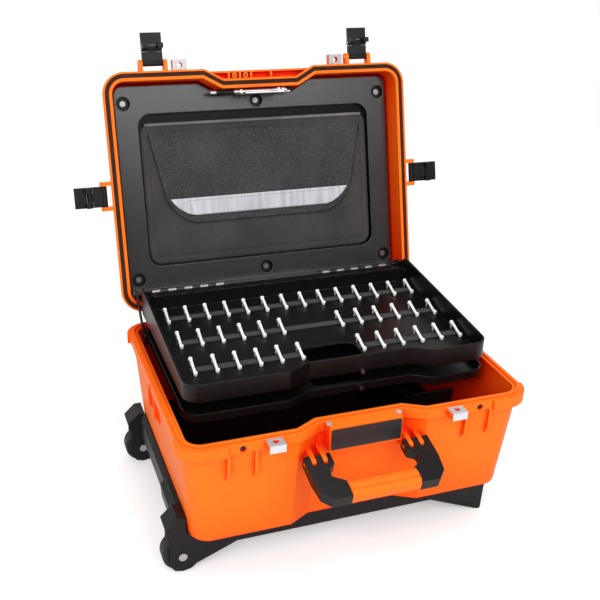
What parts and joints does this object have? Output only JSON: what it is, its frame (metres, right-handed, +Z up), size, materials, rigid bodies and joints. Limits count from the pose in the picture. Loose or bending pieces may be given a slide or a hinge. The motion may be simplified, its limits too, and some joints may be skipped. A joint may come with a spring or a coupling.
{
  "type": "tool case",
  "caption": "Wheeled hard plastic tool case with a latched hinged lid, fold-out trays with tool clips, a document pocket, a carry handle and a pull handle.",
  "frame": {"origin": "on the floor, under the middle of the whole case as pictured, with its lid open", "axes": "+X along the case to the right, +Y to the hinges at the back, +Z up"},
  "size_m": [0.6652, 0.6613, 0.6995],
  "materials": {
    "shell_orange": "satin moulded",
    "black_plastic": "satin moulded",
    "panel_black": "satin vacuum formed",
    "gasket": "matt",
    "tyre": "matt",
    "steel": "brushed",
    "aluminium": "drawn",
    "felt": "woven",
    "stripe": "woven tape",
    "elastic": "ribbed elastic",
    "white_plastic": "gloss",
    "label_black": "satin"
  },
  "bodies": {
    "base": {"base_shell": "shell_orange", "latch_rivets": "steel", "label_plate": "label_black", "label_screws": "steel", "base_padlock_plates": "steel", "insert_tray": "black_plastic", "insert_divider": "black_plastic", "handle_pins": "steel", "lid_hinge_pins": "steel", "wheel_carriage": "black_plastic", "trolley_frame": "black_plastic", "trolley_screws": "steel", "axles": "steel"},
    "lid": {"lid_shell": "shell_orange", "lid_gasket": "gasket", "lid_panel": "panel_black", "panel_screws": "steel", "panel_washers": "black_plastic", "lid_padlock_plates": "steel", "pocket_pouch": "felt", "pocket_flap": "felt", "pocket_stripe": "stripe", "catch_bracket": "steel", "latch_ear_pins": "steel", "lid_leaves": "steel"},
    "catch": {"catch_bolt": "steel", "catch_sleeve": "black_plastic", "catch_knob": "black_plastic"},
    "lower_tray": {"lower_tray": "black_plastic", "lower_tray_stud": "steel", "tray_hinge_pins": "steel", "tray_ear_pins": "steel"},
    "upper_tray": {"upper_tray": "black_plastic", "upper_tray_stud": "steel", "tray_leaves": "steel", "clip_bands": "elastic", "tool_clips": "white_plastic"},
    "handle": {"handle_arm_left": "black_plastic", "handle_arm_right": "black_plastic", "handle_grip": "shell_orange"},
    "pull_handle": {"pull_tubes": "aluminium", "pull_grip": "black_plastic"},
    "front_wheel": {"front_tyre": "tyre", "front_hub": "black_plastic"},
    "rear_wheel": {"rear_tyre": "tyre", "rear_hub": "black_plastic"},
    "latch_link_front_left": {"latch_link_front_left": "black_plastic", "latch_pin_front_left": "steel"},
    "latch_lever_front_left": {"latch_lever_front_left": "black_plastic"},
    "latch_link_front_right": {"latch_link_front_right": "black_plastic", "latch_pin_front_right": "steel"},
    "latch_lever_front_right": {"latch_lever_front_right": "black_plastic"},
    "latch_link_side_left": {"latch_link_side_left": "black_plastic", "latch_pin_side_left": "steel"},
    "latch_lever_side_left": {"latch_lever_side_left": "black_plastic"},
    "latch_link_side_right": {"latch_link_side_right": "black_plastic", "latch_pin_side_right": "steel"},
    "latch_lever_side_right": {"latch_lever_side_right": "black_plastic"}
  },
  "joints": [
    {"name": "lid_hinge", "type": "hinge", "parent": "base", "child": "lid", "pos_m": [0, 0.1626, 0.2424], "axis": [1, 0, 0], "range_deg": [0, 105]},
    {"name": "lower_tray_hinge", "type": "hinge", "parent": "lid", "child": "lower_tray", "pos_m": [0, 0.174, 0.2849], "axis": [1, 0, 0], "range_deg": [-105, 0]},
    {"name": "upper_tray_hinge", "type": "hinge", "parent": "lower_tray", "child": "upper_tray", "pos_m": [0, 0.174, 0.2849], "axis": [1, 0, 0], "range_deg": [-105, 0]},
    {"name": "catch_slide", "type": "slide", "parent": "lid", "child": "catch", "axis": [1, 0, 0], "range_m": [0, 0.01]},
    {"name": "handle_hinge", "type": "hinge", "parent": "base", "child": "handle", "pos_m": [0, -0.2568, 0.192], "axis": [1, 0, 0], "range_deg": [-25, 75]},
    {"name": "pull_handle_slide", "type": "slide", "parent": "base", "child": "pull_handle", "axis": [1, 0, 0], "range_m": [0, 0.32]},
    {"name": "front_wheel_spin", "type": "hinge", "parent": "base", "child": "front_wheel", "pos_m": [-0.2615, -0.1853, 0.0288], "axis": [0, 1, 0], "continuous": true},
    {"name": "rear_wheel_spin", "type": "hinge", "parent": "base", "child": "rear_wheel", "pos_m": [-0.2615, 0.1097, 0.0288], "axis": [0, 1, 0], "continuous": true},
    {"name": "latch_link_front_left_hinge", "type": "hinge", "parent": "lid", "child": "latch_link_front_left", "pos_m": [-0.184, 0.27839, 0.65137], "axis": [1, 0, 0], "range_deg": [0, 90]},
    {"name": "latch_lever_front_left_hinge", "type": "hinge", "parent": "latch_link_front_left", "child": "latch_lever_front_left", "pos_m": [-0.184, 0.2846, 0.67455], "axis": [1, 0, 0], "range_deg": [-95, 0]},
    {"name": "latch_link_front_right_hinge", "type": "hinge", "parent": "lid", "child": "latch_link_front_right", "pos_m": [0.184, 0.27839, 0.65137], "axis": [1, 0, 0], "range_deg": [0, 90]},
    {"name": "latch_lever_front_right_hinge", "type": "hinge", "parent": "latch_link_front_right", "child": "latch_lever_front_right", "pos_m": [0.184, 0.2846, 0.67455], "axis": [1, 0, 0], "range_deg": [-95, 0]},
    {"name": "latch_link_side_left_hinge", "type": "hinge", "parent": "lid", "child": "latch_link_side_left", "pos_m": [-0.2836, 0.22337, 0.44601], "axis": [0, 0.2588, 0.9659], "range_deg": [0, 90]},
    {"name": "latch_lever_side_left_hinge", "type": "hinge", "parent": "latch_link_side_left", "child": "latch_lever_side_left", "pos_m": [-0.3076, 0.22337, 0.44601], "axis": [0, 0.2588, 0.9659], "range_deg": [-95, 0]},
    {"name": "latch_link_side_right_hinge", "type": "hinge", "parent": "lid", "child": "latch_link_side_right", "pos_m": [0.2836, 0.22337, 0.44601], "axis": [0, -0.2588, -0.9659], "range_deg": [0, 90]},
    {"name": "latch_lever_side_right_hinge", "type": "hinge", "parent": "latch_link_side_right", "child": "latch_lever_side_right", "pos_m": [0.3076, 0.22337, 0.44601], "axis": [0, -0.2588, -0.9659], "range_deg": [-95, 0]}
  ],
  "couplings": [
    {"joint": "lower_tray_hinge", "follows": "lid_hinge", "ratio": -1}
  ]
}
